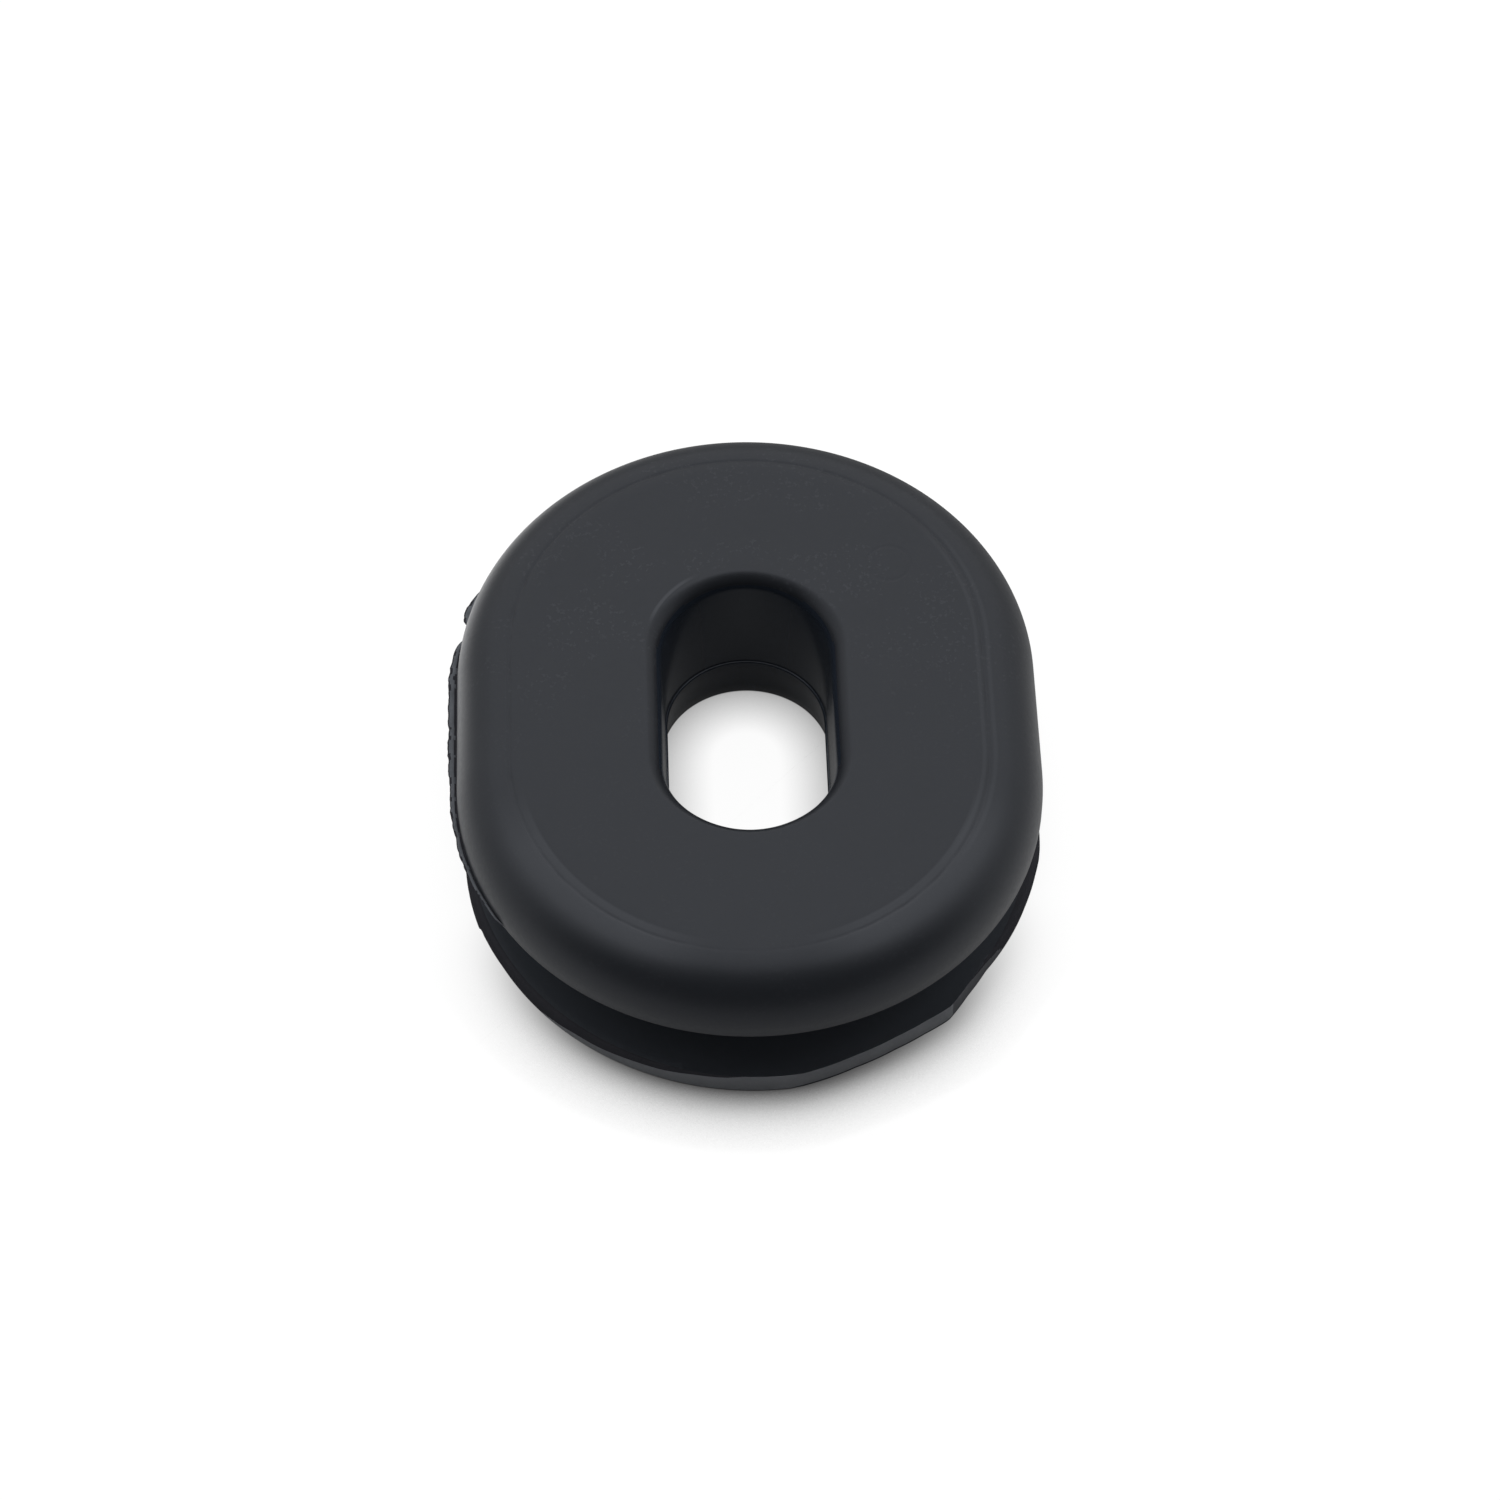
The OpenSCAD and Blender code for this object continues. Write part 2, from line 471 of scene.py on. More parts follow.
                vert.co.z = between(moved, z)
            if out > self.rim.radius - 0.1 and z < thin and x < 0:
                flange_along = along - math.copysign(min(abs(along), drop), along)
                new_out += self.ragged(flange_along, self.fin_outline) * blend(0.15, 0.1, z)
            if near:
                limit = self.rim.radius - self.trim_depth * between(self.trim_line, turn)
                new_out = min(new_out, limit)
            vert.co += self.rim.outward(x, y) * (new_out - out)

    def mouth_radius(self, x: float, y: float) -> float:
        """Gives the radius of the mouth's rounding beside a point."""
        end = self.mouth_far_round if y > 0 else self.mouth_near_round
        turn = math.degrees(math.atan2(max(abs(y) - self.rim.half_flat, 0.0), abs(x)))
        return self.mouth_side_round + (end - self.mouth_side_round) * blend(5, 70, turn)

    def lip_curve(self, eased: float, lean: float) -> Pair:
        """Follows the mouth's rounding, which starts with a tight lip and goes on wider.

        Args:
            eased: Radius of the wider part.
            lean: How far round the drawn rounding a point lies, from 0 at the top to 90 degrees.

        Returns:
            The point's distance from the slot's wall and its depth below the top.
        """
        split, tight, small = self.mouth_lip_turn, self.mouth_lip_lean, self.mouth_lip_round
        start = math.radians(tight)
        if lean < split:
            tilt = math.radians(tight * lean / split)
            wide = eased * (1 - math.sin(start)) + small * (math.sin(start) - math.sin(tilt))
            return wide, small * (1 - math.cos(tilt))
        tilt = math.radians(tight + (90 - tight) * (lean - split) / (90 - split))
        drop = small * (1 - math.cos(start)) + eased * (math.cos(start) - math.cos(tilt))
        return eased * (1 - math.sin(tilt)), drop

    def ease_mouth(self) -> None:
        """Gives the slot's mouth its rounding with a tight lip."""
        plain, reach = self.mouth_round, self.mouth_reach
        low, far_out = self.height - reach, self.slot_radius + reach
        for vert in self.mesh.verts:
            x, y, z = vert.co
            out = self.rim.place(x, y).out
            if z < low or out > far_out:
                continue
            eased = self.mouth_radius(x, y)
            across, above = self.slot_radius + plain - out, z - (self.height - plain)
            new_out = out
            if across > -1e-4 and above > -1e-4:
                wide, drop = self.lip_curve(eased, math.degrees(math.atan2(across, above)))
                new_out = self.slot_radius + wide
                vert.co.z = self.height - drop
            elif across > 0:
                deep = self.lip_curve(eased, 90)[1]
                vert.co.z = low + (z - low) * (reach - deep) / (reach - plain)
            else:
                wide = self.lip_curve(eased, 0)[0]
                new_out = far_out - (far_out - out) * (reach - wide) / (reach - plain)
            vert.co += self.rim.outward(x, y) * (new_out - out)

    def shift_slot(self) -> None:
        """Moves the slot along its length, off the middle of the flanges."""
        for vert in self.mesh.verts:
            out = self.rim.place(vert.co.x, vert.co.y).out
            vert.co.y += self.slot_shift * (1 - blend(*self.slot_hold, out))

    def press_line(self) -> None:
        """Presses the fine line into the top, and the flat shoulder that carries it."""
        middle = self.rim.radius - self.line_inset
        start = middle - self.shoulder_width
        for vert in self.mesh.verts:
            if vert.co.z < self.height - 0.5:
                continue
            out, along = self.rim.place(vert.co.x, vert.co.y)
            if not start < out < middle + 1:
                continue
            waver = noise.noise(Vector((along * 0.9, 5.0, 1.0)))
            # The line is nearly lost at the middle of the near end
            sideways = blend(0.1, 0.5, abs(vert.co.x) / out)
            clear = 1.0 if vert.co.y > 0 else 0.25 + 0.75 * sideways
            depth = self.line_depth * (0.8 + 0.5 * waver) * clear
            sink = self.shoulder_drop * blend(start + 0.03 * waver, middle - 0.1, out) * clear
            sink *= 1 - blend(middle + 0.1, middle + 0.95, out)
            vert.co.z -= sink + depth * hump(out - middle - 0.03 * waver, self.line_width)

    def press_pin_mark(self) -> None:
        """Presses the faint ring of the round pin mark into the top."""
        bm = self.mesh
        centre = Vector((*self.pin_centre, self.height))
        near = [
            f for f in bm.faces
            if f.calc_center_median().z > self.height - TOUCH
            and (f.calc_center_median() - centre).length < self.pin_radius + 0.4
        ]
        edges = list(dict.fromkeys(e for f in near for e in f.edges))
        bmesh.ops.subdivide_edges(bm, edges=edges, cuts=3, use_grid_fill=True)
        for vert in bm.verts:
            away = (vert.co - centre).length - self.pin_radius
            if abs(away) < 0.3 and vert.co.z > self.height - TOUCH:
                vert.co.z -= self.pin_depth * hump(away, self.pin_width)

    def skin_of(self, middle: Vector, normal: Vector) -> Skin:
        """Tells the surface of one face.

        Args:
            middle: The middle of the face.
            normal: The way that it faces.

        Returns:
            Its surface.
        """
        rim, low = self.rim.radius, self.groove_top
        out, along = self.rim.place(middle.x, middle.y)
        if out > rim + TOUCH and low - 0.05 < middle.z < low + self.flash_thickness + 0.05:
            share = (out - rim) / max(self.ragged(along, self.flash_outline), 0.01)
            share += 0.2 * noise.noise(Vector((along * 2.3, 7.0, 3.0)))
            # The flash's middle streak takes the paler torn finish, partly its own tone and partly a
            # painted highlight along its ridge; its root and tips take the dull finish as painted
            # shade.
            return Skin.TORN if 0.32 < share < 0.8 else Skin.DULL
        if out < self.slot_radius + 1:
            in_bore = 0.1 < middle.z < self.height - self.bore_depth
            return Skin.BORE if in_bore else Skin.MOULDED
        if not 0.1 < middle.z < low:
            # The lower flange's bottom edge takes the dull finish, as painted shade.
            return Skin.DULL if middle.z < low and out > rim - 0.2 else Skin.MOULDED
        arm = middle - Vector((self.flange_shift, -self.flange_half_flat, 0))
        flange_rim = middle.z < self.groove_low and out > rim - 1 and normal.z < 0.97
        # The groove takes the recessed finish, whose paler colour is painted light lifting its dark
        # tones.
        if not flange_rim:
            return Skin.RECESS
        turn = math.degrees(math.atan2(arm.y, arm.x))
        uncut = arm.y > 0 or turn < self.cut_start or middle.z > self.cut_top(turn)
        # The uncut rim takes the dull finish, whose lack of gloss keeps it dark as painted shade.
        if uncut or normal.z > 0.9:
            return Skin.DULL
        # Past the turn, the cut takes a darker copy of the cut finish, as painted shade where that face
        # catches more light.
        return Skin.WORN if turn > self.shaded_cut_start else Skin.CUT

    def mark_skins(self) -> None:
        """Gives each face the surface that it has on the moulding."""
        for face in self.mesh.faces:
            face.smooth = True
            face.material_index = self.skin_of(face.calc_center_median(), face.normal).value

    def build(self, name: str) -> bpy.types.Object:
        """Shapes the moulding and turns it into an object in metres, at the origin.

        Args:
            name: Name of the piece.

        Returns:
            The object, without materials.
        """
        self.sweep()
        self.pull_flash()
        self.seat_lower_flange()
        self.ease_mouth()
        self.shift_slot()
        self.press_line()
        self.press_pin_mark()
        self.mesh.normal_update()
        self.mark_skins()
        bmesh.ops.remove_doubles(self.mesh, verts=self.mesh.verts, dist=0.002)
        bmesh.ops.recalc_face_normals(self.mesh, faces=self.mesh.faces)
        bmesh.ops.scale(self.mesh, vec=(MM, MM, MM), verts=self.mesh.verts)
        data = bpy.data.meshes.new(name)
        self.mesh.to_mesh(data)
        self.mesh.free()
        data.set_sharp_from_angle(angle=math.radians(50))
        piece = bpy.data.objects.new(name, data)
        bpy.context.scene.collection.objects.link(piece)
        return piece


Tree = bpy.types.NodeTree
Socket = bpy.types.NodeSocket
Value = Socket | float | tuple[float, ...]
Inputs = dict[str | int, Value]
Sockets = bpy.types.bpy_prop_collection


@dataclass(frozen=True)
class Wiring:
    """A shader's node tree, with short ways to add to it.

    Args:
        tree: The node tree.
    """

    tree: Tree

    def feed(self, node: bpy.types.Node, inputs: Inputs) -> None:
        """Sets a node's inputs, or links them where their value comes from a socket.

        Args:
            node: The node.
            inputs: Its inputs, by name or number, with their values.
        """
        for name, value in inputs.items():
            if isinstance(value, Socket):
                self.tree.links.new(value, node.inputs[name])
            else:
                node.inputs[name].default_value = value

    def add(self, kind: str, inputs: Inputs, **settings: object) -> bpy.types.Node:
        """Adds a node.

        Args:
            kind: Its kind, as it is called after ShaderNode.
            inputs: Its inputs, by name or number, with their values.
            settings: What else is set on it.

        Returns:
            The node.
        """
        node = self.tree.nodes.new(f"ShaderNode{kind}")
        for name, setting in settings.items():
            setattr(node, name, setting)
        self.feed(node, inputs)
        return node

    def maths(self, operation: str, *values: Value) -> Socket:
        """Adds one sum, by the name of its operation, and gives its result."""
        return self.add("Math", dict(enumerate(values)), operation=operation).outputs[0]

    def vector(self, operation: str, *values: Value) -> Sockets:
        """Adds one sum of vectors or colours, and gives its results."""
        return self.add("VectorMath", dict(enumerate(values)), operation=operation).outputs

    def scaled(self, colour: Value, amount: Socket) -> Socket:
        """Adds the product of a colour and an amount."""
        node = self.add("VectorMath", {0: colour, "Scale": amount}, operation="SCALE")
        return node.outputs[0]

    def span(self, value: Socket, start: Pair, end: Pair, rise: str = "LINEAR") -> Socket:
        """Adds a change of range.

        Args:
            value: The value.
            start: The range that it comes in.
            end: The range that it goes out in, which it never leaves.
            rise: How it rises.

        Returns:
            The changed value.
        """
        ends = dict(zip(("From Min", "From Max", "To Min", "To Max"), (*start, *end)))
        ends["Value"] = value
        return self.add("MapRange", ends, interpolation_type=rise).outputs["Result"]

    def ramp(self, value: Socket, low: float, high: float) -> Socket:
        """Adds a smooth rise from 0 where a value is low to 1 where it is high."""
        return self.span(value, (low, high), (0.0, 1.0), "SMOOTHSTEP")

    def place(self) -> Socket:
        """Adds the place of the shaded spot on its object."""
        return self.add("TexCoord", {}).outputs["Object"]

    def parts(self, vector: Socket) -> tuple[Socket, ...]:
        """Adds the X, Y and Z of a vector."""
        return tuple(self.add("SeparateXYZ", {0: vector}).outputs)


def new_group(
    name: str, inputs: tuple[str, ...], outputs: tuple[str, ...]
) -> tuple[Wiring, Sockets, bpy.types.Node]:
    """Makes an empty shader group whose sockets all carry plain values.

    Args:
        name: Name of the group.
        inputs: Names of its inputs.
        outputs: Names of its outputs.

    Returns:
        Its wiring, the sockets that its inputs come in by, and the node that its outputs leave by.
    """
    tree = bpy.data.node_groups.new(name, "ShaderNodeTree")
    for way, names in (("INPUT", inputs), ("OUTPUT", outputs)):
        for socket in names:
            tree.interface.new_socket(socket, in_out=way, socket_type="NodeSocketFloat")
    entry, leave = tree.nodes.new("NodeGroupInput"), tree.nodes.new("NodeGroupOutput")
    return Wiring(tree), entry.outputs, leave


def grain_group() -> Tree:
    """Builds the shader group for a moulded surface's fine grain.

    Returns:
        A group with the inputs Fine Scale and Cloud Scale, and the outputs Grain, Cloud and Speck.
        Speck is strongest at the far end.
    """
    outputs = ("Grain", "Cloud", "Speck")
    wire, entry, leave = new_group("moulded_grain", ("Fine Scale", "Cloud Scale"), outputs)
    place = wire.place()
    grains = {"Vector": place, "Scale": entry["Fine Scale"], "Detail": 3.0, "Roughness": 0.6}
    clouds = {"Vector": place, "Scale": entry["Cloud Scale"], "Detail": 4.0}
    fine, cloud = (wire.add("TexNoise", inputs).outputs["Fac"] for inputs in (grains, clouds))
    specks = wire.maths("MULTIPLY", wire.ramp(cloud, 0.42, 0.58), wire.ramp(fine, 0.55, 0.67))
    far = wire.ramp(wire.parts(place)[1], -4 * MM, 4 * MM)
    specks = wire.maths("MULTIPLY", specks, wire.maths("MULTIPLY_ADD", far, 0.75, 0.25))
    wire.feed(leave, dict(zip(outputs, (fine, cloud, specks))))
    return wire.tree


def fade_group() -> Tree:
    """Builds the shader group that fades an effect out towards the oblong's rim.

    Returns:
        A group with the inputs Half Flat, Inner and Outer, in metres. Its output Fade is 1 inside
        Inner and 0 outside Outer. The others place the painted highlight rings, and are 1 only on the
        upper flange: Quarter at the quarters of the near end, Right at the right side, and Far Left
        at the far left quarter.
    """
    lengths, sides = ("Half Flat", "Inner", "Outer"), ("Quarter", "Right", "Far Left")
    wire, entry, leave = new_group("rim_fade", lengths, ("Fade", *sides))
    maths, ramp = wire.maths, wire.ramp
    half_flat, inner, outer = (entry[name] for name in lengths)
    x, y, z = wire.parts(wire.place())
    beyond = maths("MAXIMUM", maths("SUBTRACT", maths("ABSOLUTE", y), half_flat), 0.0)
    out = maths("SQRT", maths("ADD", maths("MULTIPLY", x, x), maths("MULTIPLY", beyond, beyond)))
    share = maths("DIVIDE", maths("SUBTRACT", out, inner), maths("SUBTRACT", outer, inner))
    wire.feed(leave, {"Fade": maths("SUBTRACT", 1.0, ramp(share, 0, 1))})

    past_flat = (maths("SUBTRACT", maths("MULTIPLY", y, way), half_flat) for way in (-1.0, 1.0))
    nearness, farness = (maths("DIVIDE", maths("MAXIMUM", past, 0.0), out) for past in past_flat)
    rightness = maths("DIVIDE", x, out)
    sideways = ramp(maths("ABSOLUTE", rightness), 0.15, 0.5)
    corner = maths("MULTIPLY_ADD", farness, 0.9, maths("MULTIPLY", rightness, -1.1))
    quarter = maths("MULTIPLY", sideways, ramp(nearness, 0.15, 0.5))
    masks = (quarter, ramp(rightness, 0.75, 0.95), ramp(corner, 1.3, 1.41))
    upper = ramp(z, 4 * MM, 6 * MM)
    wire.feed(leave, {side: maths("MULTIPLY", mask, upper) for side, mask in zip(sides, masks)})
    return wire.tree


def faded(wire: Wiring, fade: Tree, inner: float, outer: float) -> Sockets:
    """Adds a fade between two distances from the oblong's middle line, and gives its outputs."""
    lengths = {"Half Flat": FLAT_SIDE / 2 * MM, "Inner": inner * MM, "Outer": outer * MM}
    return wire.add("Group", lengths, node_tree=fade).outputs


@dataclass(frozen=True)
class PaintedHighlightRing:
    """A soft pale ring of painted highlight on the top, by distances out from the oblong's middle
    line in millimetres.

    Args:
        rise: Where it starts, and where it is full.
        fall: Where it starts to fade, and where it ends.
        side: The stretch of it that is painted, which is an output of the fade's group.
        strength: How much of its finish's pale tone it adds.
    """

    rise: Pair
    fall: Pair
    side: str
    strength: float

    def drawn(self, wire: Wiring, fade: Tree) -> Socket:
        """Adds the ring to a material.

        Args:
            wire: The material's wiring.
            fade: The group that fades towards the rim.

        Returns:
            How far a spot lies in the painted stretch, from 0 to 1.
        """
        inner, outer = faded(wire, fade, *self.rise), faded(wire, fade, *self.fall)
        ring = wire.maths("SUBTRACT", outer["Fade"], inner["Fade"])
        return wire.maths("MULTIPLY", ring, outer[self.side])


@dataclass(frozen=True)
class RubberFinish:
    """A rubber surface.

    Args:
        name: Name of the material.
        dark: Linear colour of its darker patches.
        light: Linear colour of its lighter patches.
        smooth: Roughness of its smoothest spots.
        rough: Roughness of its roughest spots.
        sheen_level: Strength of its gloss, where 0.5 is that of plain plastic.
        grain_height: Height of its grain, in metres.
        fine_scale: Grains to the metre.
        cloud_scale: Patches to the metre.
        tint: Tint of its gloss.
        pale: Tone that its specks and its painted highlight rings add to its colour.
        speck: How much of that tone its lightest specks add.
        painted_highlights: Its rings of painted highlight.
        rim_dark: Share of its colour that is left at the rim, as painted shade.
        rim_shade: Distances out, in millimetres, between which it darkens to that share.
    """

    name: str
    dark: Triple
    light: Triple
    smooth: float = 0.42
    rough: float = 0.48
    sheen_level: float = 0.32
    grain_height: float = 3e-6
    fine_scale: float = 5200
    cloud_scale: float = 420
    tint: Triple = (0.87, 0.91, 1.0)
    pale: Triple = (0.0098, 0.0102, 0.0112)
    speck: float = 0.0
    painted_highlights: tuple[PaintedHighlightRing, ...] = ()
    rim_dark: float = 1.0
    rim_shade: Pair = (10.6, 11.9)

    def material(self, grain: Tree, fade: Tree) -> bpy.types.Material:
        """Builds the material.

        Args:
            grain: The group that gives the grain.
            fade: The group that fades towards the rim.

        Returns:
            The material.
        """
        made = bpy.data.materials.new(self.name)
        made.use_nodes = True
        wire = Wiring(made.node_tree)
        scales = {"Fine Scale": self.fine_scale, "Cloud Scale": self.cloud_scale}
        surface = wire.add("Group", scales, node_tree=grain).outputs
        relief = {"Distance": self.grain_height, "Strength": 1.0, "Height": surface["Grain"]}
        looks = {
            "Base Color": self.colour(wire, surface["Cloud"], surface["Speck"], fade),
            "Roughness": wire.span(surface["Grain"], (0.3, 0.7), (self.smooth, self.rough)),
            "Normal": wire.add("Bump", relief).outputs["Normal"],
            "Specular IOR Level": self.sheen_level,
            "Specular Tint": (*self.tint, 1),
        }
        wire.feed(made.node_tree.nodes["Principled BSDF"], looks)
        return made

    def colour(self, wire: Wiring, cloud: Socket, speck: Socket, fade: Tree) -> Socket:
        """Adds the colour, with its patches, specks, painted rim shade and painted highlight rings.

        Args:
            wire: The material's wiring.
            cloud: How light a spot's patch is.
            speck: How light a speck lies on it.
            fade: The group that fades towards the rim.

        Returns:
            The colour.
        """
        maths = wire.maths
        patches = {"Factor": cloud, "A": (*self.dark, 1), "B": (*self.light, 1)}
        shown = wire.add("Mix", patches, data_type="RGBA").outputs["Result"]
        if self.speck:
            shown = self.paler(wire, shown, maths("MULTIPLY", speck, self.speck))
        # Painted shade: the colour darkens towards the rim.
        if self.rim_dark < 1:
            inwards = faded(wire, fade, *self.rim_shade)["Fade"]
            left = maths("MULTIPLY_ADD", inwards, 1 - self.rim_dark, self.rim_dark)
            shown = wire.scaled(shown, left)
        # Painted highlights: pale rings on the top where its edges would catch light.
        for ring in self.painted_highlights:
            amount = maths("MULTIPLY", ring.drawn(wire, fade), ring.strength)
            shown = self.paler(wire, shown, amount)
        return shown

    def paler(self, wire: Wiring, colour: Socket, amount: Socket) -> Socket:
        """Adds the sum of a colour and an amount of this finish's pale tone."""
        return wire.vector("ADD", colour, wire.scaled(self.pale, amount))[0]


PAINTED_TOP_HIGHLIGHTS = (
    # Painted highlights on the shoulder around the fine line, on that line's two edges,
    # and on the lip of the slot's mouth
    PaintedHighlightRing((9.28, 9.42), (10.5, 11.3), "Quarter", 1.35),
    PaintedHighlightRing((9.4, 9.5), (9.54, 9.66), "Right", 0.675),
    PaintedHighlightRing((9.84, 9.95), (9.99, 10.12), "Right", 0.675),
    PaintedHighlightRing((4.02, 4.08), (4.14, 4.24), "Far Left", 2.16),
)

CUT_GRAIN = {"sheen_level": 0.2, "grain_height": 6e-6, "fine_scale": 6500, "cloud_scale": 900}

FINISHES = {
    Skin.MOULDED: RubberFinish(
        "moulded_rubber", (0.0082, 0.0094, 0.012), (0.0094, 0.0106, 0.0135), speck=1, painted_highlights=PAINTED_TOP_HIGHLIGHTS
    ),
    # The groove's skin is paler than the moulded top, which is painted light lifting the groove's dark
    # tones, and darkens towards the lower flange's rim, which is painted shade.
    Skin.RECESS: RubberFinish(
        "recessed_rubber", (0.041, 0.046, 0.055), (0.047, 0.052, 0.061), sheen_level=0.12, rim_dark=0.67
    ),
    Skin.BORE: RubberFinish(
        "slot_rubber", (0.0135, 0.018, 0.0255), (0.0165, 0.021, 0.0295), 0.18, 0.24, grain_height=1e-6
    ),
    # No gloss, so that the lower flange's rim, its bottom edge and the flash's root and tips stay dark
    # instead of showing the bright floor: painted shade.
    Skin.DULL: RubberFinish(
        "dull_rubber", (0.027, 0.028, 0.033), (0.037, 0.037, 0.042), 0.7, 0.8, 0.0, cloud_scale=700
    ),
    Skin.CUT: RubberFinish(
        "cut_rubber", (0.119, 0.125, 0.134), (0.152, 0.157, 0.169), 0.6, 0.7, **CUT_GRAIN
    ),
    # A darker copy of the cut finish: painted shade on the part of the cut that faces the right light.
    Skin.WORN: RubberFinish(
        "shaded_cut_rubber", (0.041, 0.043, 0.049), (0.064, 0.065, 0.073), 0.6, 0.7, **CUT_GRAIN
    ),
    # The flash's paler middle streak: partly torn rubber's own paler tone and partly a painted
    # highlight along the flash's ridge.
    Skin.TORN: RubberFinish(
        "torn_rubber", (0.036, 0.04, 0.047), (0.112, 0.119, 0.132), 0.5, 0.7, 0.32, 1.2e-5, 6500, 2200
    ),
}


@dataclass(frozen=True)
class Softbox:
    """A rectangular soft light that faces straight along one way.

    Args:
        name: Name of the light.
        place: Where its middle hangs, in metres.
        facing: The way that it faces.
        size: Its width and height, in metres.
        glow: Brightness of its face, where 1 is white.
    """

    name: str
    place: Triple
    facing: Triple
    size: Pair
    glow: float

    def hang(self) -> bpy.types.Object:
        """Hangs the light in the scene and returns it."""
        lamp = bpy.data.lights.new(self.name, "AREA")
        lamp.shape = "RECTANGLE"
        lamp.size, lamp.size_y = self.size
        lamp.energy = math.pi * self.size[0] * self.size[1] * self.glow
        light = bpy.data.objects.new(self.name, lamp)
        light.location = self.place
        light.rotation_euler = Vector(self.facing).to_track_quat("-Z", "Y").to_euler()
        bpy.context.scene.collection.objects.link(light)
        return light


class FloorSpot(NamedTuple):
    """Where a spot of the floor lies from the grommet's middle, as sockets of its material."""

    right: Socket
    back: Socket
    distance: Socket
    in_slot: Socket
    outside: Socket


@dataclass(frozen=True)
class WhiteFloor:
    """The floor's white, which darkens where the grommet shades it.

    Each shade is the reach of a shadow, in metres, and its steepness. Directions on the floor are
    given by the cosines of their angles to the right and to the back.

    Args:
        tone: Colour of its matt white.
        white: Strength of the white that the camera and the gloss see.
        glow_share: Share of that white in what they see.
        slot_reach: Distance from the middle up to which the floor lies in the slot.
        front_shade: The shadow in front of the grommet.
        front_turn: How far to the front that shadow starts, and where it is full.
        slot_shade: The shadow in the slot and close to the walls.
        close_share: How much of that shadow is laid on outside the slot.
        deep_shade: The shadow that the gloss sees in the slot.
        deep_level: The floor's brightness there.
        wide_shade: The shadow that the gloss sees around the grommet.
        level: The floor's brightness there.
        side_gain: What the sides add to that brightness.
        back_loss: What is taken from it behind.
        back_turn: How far to the back that loss starts, and where it is full.
        gleam: What a bright patch adds to it.
        gleam_way: The direction of that patch.
        gleam_power: How narrow that patch is.
        gleam_reach: Distances between which that patch dies away.
    """

    tone: float = 0.9
    white: float = 1.05
    glow_share: float = 0.9
    slot_reach: float = 0.0085
    front_shade: Pair = (0.003, 3.9)
    front_turn: Pair = (0.35, 1.0)
    slot_shade: Pair = (0.0022, 0.8)
    close_share: float = 0.1
    deep_shade: Pair = (0.004, 1.1)
    deep_level: float = 0.27
    wide_shade: Pair = (0.01, 1.5)
    level: float = 0.62
    side_gain: float = 0.4
    back_loss: float = 0.35
    back_turn: Pair = (0.1, 0.7)
    gleam: float = 1.85
    gleam_way: Pair = (-0.73, 0.68)
    gleam_power: float = 7.0
    gleam_reach: Pair = (0.02, 0.05)

    def spot(self, wire: Wiring) -> FloorSpot:
        """Adds the sums that tell where a spot of the floor lies, and gives their results."""
        place = wire.place()
        right, back, _ = wire.parts(wire.vector("NORMALIZE", place)[0])
        distance = wire.vector("LENGTH", place)["Value"]
        in_slot = wire.maths("LESS_THAN", distance, self.slot_reach)
        return FloorSpot(right, back, distance, in_slot, wire.maths("SUBTRACT", 1.0, in_slot))

    @staticmethod
    def openness(wire: Wiring, reach: float, power: float) -> Socket:
        """Adds the floor's openness within a reach, raised to a power."""
        node = wire.add("AmbientOcclusion", {"Distance": reach}, samples=8)
        return wire.maths("POWER", node.outputs["AO"], power)

    def shaded(self, wire: Wiring, amount: Socket, shade: Pair) -> Socket:
        """Adds the brightness left by a shade that is only laid on by an amount."""
        shadow = wire.maths("SUBTRACT", 1.0, self.openness(wire, *shade))
        return wire.maths("SUBTRACT", 1.0, wire.maths("MULTIPLY", amount, shadow))

    def looked_at(self, wire: Wiring, spot: FloorSpot) -> Socket:
        """Adds the floor's brightness for the camera.

        Args:
            wire: The material's wiring.
            spot: Where the spot lies.

        Returns:
            The brightness.
        """
        maths = wire.maths
        front = wire.ramp(maths("MULTIPLY", spot.back, -1.0), *self.front_turn)
        in_front = maths("MULTIPLY", front, spot.outside)
        close = maths("MULTIPLY_ADD", spot.in_slot, 1 - self.close_share, self.close_share)
        by_front = self.shaded(wire, in_front, self.front_shade)
        return maths("MULTIPLY", by_front, self.shaded(wire, close, self.slot_shade))

    def reflected(self, wire: Wiring, spot: FloorSpot) -> Socket:
        """Adds the floor's brightness for the grommet's gloss.

        Args:
            wire: The material's wiring.
            spot: Where the spot lies.

        Returns:
            The brightness.
        """
        maths = wire.maths
        behind = maths("MULTIPLY", wire.ramp(spot.back, *self.back_turn), -self.back_loss)
        level = maths("ADD", behind, self.level)
        level = maths("MULTIPLY_ADD", maths("MULTIPLY", spot.right, spot.right), self.side_gain, level)
        lean = maths("MULTIPLY", spot.right, self.gleam_way[0])
        lean = maths("MULTIPLY_ADD", spot.back, self.gleam_way[1], lean)
        gleam = maths("POWER", maths("MAXIMUM", lean, 0.0), self.gleam_power)
        close_by = maths("SUBTRACT", 1.0, wire.ramp(spot.distance, *self.gleam_reach))
        level = maths("MULTIPLY_ADD", maths("MULTIPLY", gleam, close_by), self.gleam, level)
        around = maths("MULTIPLY", level, self.openness(wire, *self.wide_shade))
        deep = maths("MULTIPLY", self.openness(wire, *self.deep_shade), self.deep_level)
        through = maths("MULTIPLY", deep, spot.in_slot)
        return maths("MULTIPLY_ADD", around, spot.outside, through)

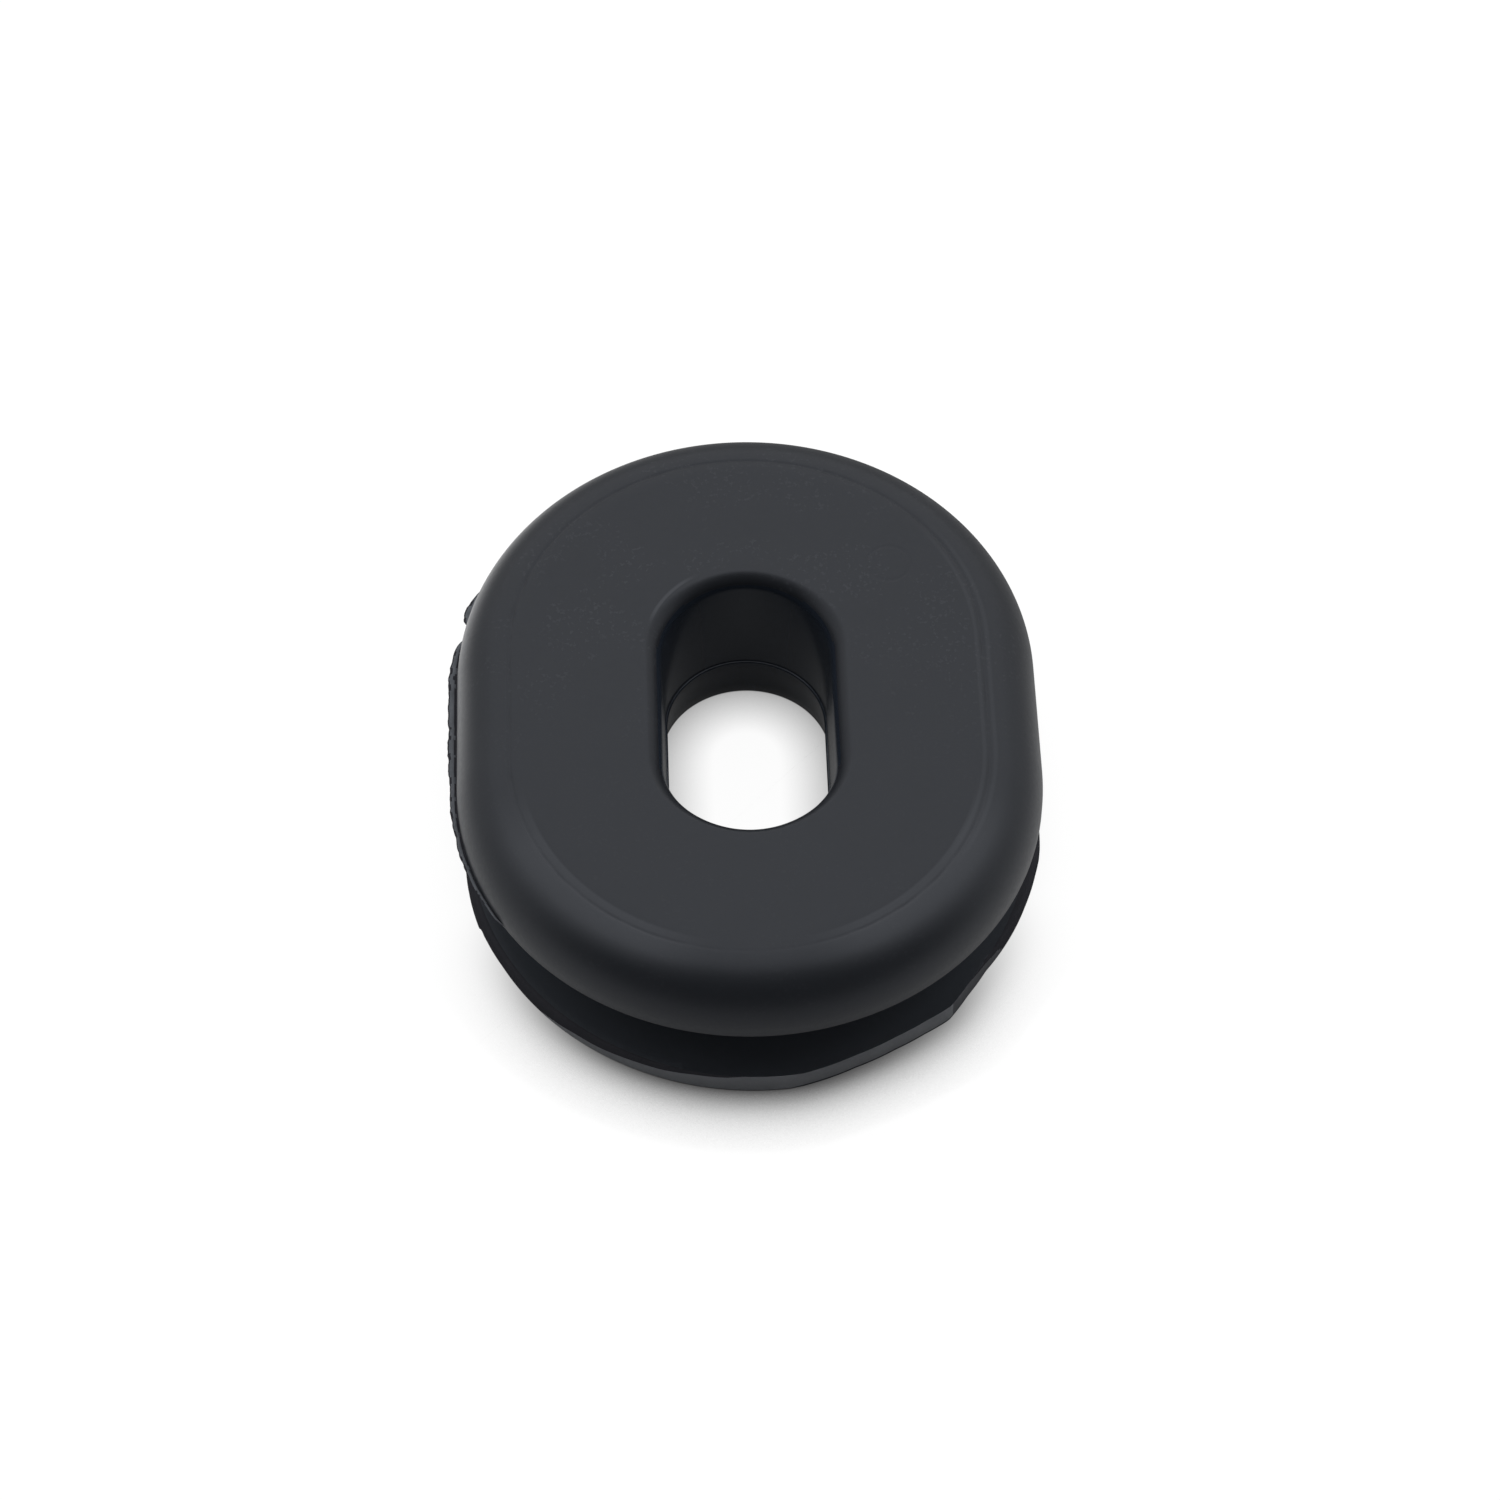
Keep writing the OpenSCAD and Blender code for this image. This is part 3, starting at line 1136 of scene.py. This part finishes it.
    def material(self) -> bpy.types.Material:
        """Builds the floor's material.

        Returns:
            The material.
        """
        made = bpy.data.materials.new("white_floor")
        made.use_nodes = True
        made.node_tree.nodes.clear()
        wire = Wiring(made.node_tree)
        maths, spot = wire.maths, self.spot(wire)
        seen = wire.add("LightPath", {}).outputs
        direct = seen["Is Camera Ray"]
        mirrored = maths("MAXIMUM", seen["Is Glossy Ray"], seen["Is Transmission Ray"])
        straight = maths("MULTIPLY", self.looked_at(wire, spot), direct)
        shown = maths("MULTIPLY_ADD", self.reflected(wire, spot), mirrored, straight)
        share = maths("MULTIPLY", maths("MAXIMUM", direct, mirrored), self.glow_share)
        matt = wire.add("BsdfDiffuse", {"Color": (self.tone,) * 3 + (1,)}).outputs[0]
        glow = wire.add("Emission", {"Strength": maths("MULTIPLY", shown, self.white)}).outputs[0]
        both = wire.add("MixShader", {"Fac": share, 1: matt, 2: glow}).outputs[0]
        wire.add("OutputMaterial", {"Surface": both})
        return made


@dataclass
class Studio:
    """The pale floor, the soft light and the camera around the grommet.

    Args:
        floor: The floor's white.
        floor_size: Width of the floor, in metres.
        floor_gap: How far the floor lies under the grommet, in metres.
        sky_tone: Brightness of the room beyond the lights.
        elevation: How far the camera looks down, in degrees.
        azimuth: How far its view is turned to the right of straight back, in degrees.
        roll: How far the camera is turned about its view, in degrees.
        aim: The place on the grommet's top that it looks at, in millimetres.
        distance: Distance from there to the camera, in millimetres.
        lens: Focal length, in millimetres.
        sensor: Width of the sensor, in millimetres.
        softboxes: The lights.
    """

    floor: WhiteFloor = WhiteFloor()
    floor_size: float = 6.0
    floor_gap: float = 1e-5
    sky_tone: float = 0.12
    elevation: float = 54.5
    azimuth: float = 1.67
    roll: float = -0.21
    aim: Pair = (0.011, -2.724)
    distance: float = 185.24
    lens: float = 109.68
    sensor: float = 36.0
    softboxes: tuple[Softbox, ...] = (
        Softbox("ceiling", (0.0, 0.22, 0.6), (0, 0, -1), (1.3, 0.76), 1.6),
        Softbox("back", (0.0, 0.62, 0.36), (0, -1, 0), (1.3, 0.48), 1.3),
        Softbox("left", (-0.66, 0.2, 0.32), (1, 0, 0), (0.8, 0.56), 0.95),
        Softbox("right", (0.66, 0.2, 0.32), (-1, 0, 0), (0.8, 0.56), 0.95),
    )

    def lay_floor(self) -> bpy.types.Object:
        """Lays the floor just under the grommet and returns it."""
        bm = bmesh.new()
        bmesh.ops.create_grid(bm, x_segments=1, y_segments=1, size=self.floor_size / 2)
        bmesh.ops.translate(bm, vec=(0, 0, -self.floor_gap), verts=bm.verts)
        data = bpy.data.meshes.new("floor")
        bm.to_mesh(data)
        bm.free()
        floor = bpy.data.objects.new("floor", data)
        bpy.context.scene.collection.objects.link(floor)
        data.materials.append(self.floor.material())
        return floor

    def light(self) -> None:
        """Sets the world and hangs the softboxes."""
        world = bpy.data.worlds.new("studio")
        bpy.context.scene.world = world
        world.use_nodes = True
        sky = world.node_tree.nodes["Background"]
        sky.inputs["Color"].default_value = (self.sky_tone,) * 3 + (1,)
        for softbox in self.softboxes:
            softbox.hang()

    def set_camera(self, top: float) -> bpy.types.Object:
        """Aims the camera at the top of the grommet.

        Args:
            top: Height of the grommet's flat top, in metres.

        Returns:
            The camera.
        """
        data = bpy.data.cameras.new("camera")
        data.sensor_width = self.sensor
        data.lens = self.lens
        data.clip_start, data.clip_end = 0.01, 20.0
        camera = bpy.data.objects.new("camera", data)
        camera.matrix_world = (
            Matrix.Translation(Vector((*self.aim, 0)) * MM + Vector((0, 0, top)))
            @ Matrix.Rotation(math.radians(-self.azimuth), 4, "Z")
            @ Matrix.Rotation(math.radians(90 - self.elevation), 4, "X")
            @ Matrix.Rotation(math.radians(self.roll), 4, "Z")
            @ Matrix.Translation((0, 0, self.distance * MM))
        )
        bpy.context.scene.collection.objects.link(camera)
        bpy.context.scene.camera = camera
        return camera


def main() -> None:
    """Builds the grommet's looks and its studio, and reports each piece."""
    logging.basicConfig(level=logging.INFO, format="%(message)s")
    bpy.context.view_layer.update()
    _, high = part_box("grommet")
    rim = Oblong(high.y / MM - FLAT_SIDE / 2, FLAT_SIDE / 2)
    piece = GrommetMoulding(high.z / MM, rim).build("grommet_moulding")
    grain, fade = grain_group(), fade_group()
    for skin in Skin:
        piece.data.materials.append(FINISHES[skin].material(grain, fade))
    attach(piece, "root")
    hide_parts("grommet")
    LOG.info("%s: %d faces", piece.name, len(piece.data.polygons))
    studio = Studio()
    studio.lay_floor()
    studio.light()
    studio.set_camera(high.z)
    bpy.context.scene.view_settings.view_transform = "Standard"


if __name__ == "__main__":
    main()
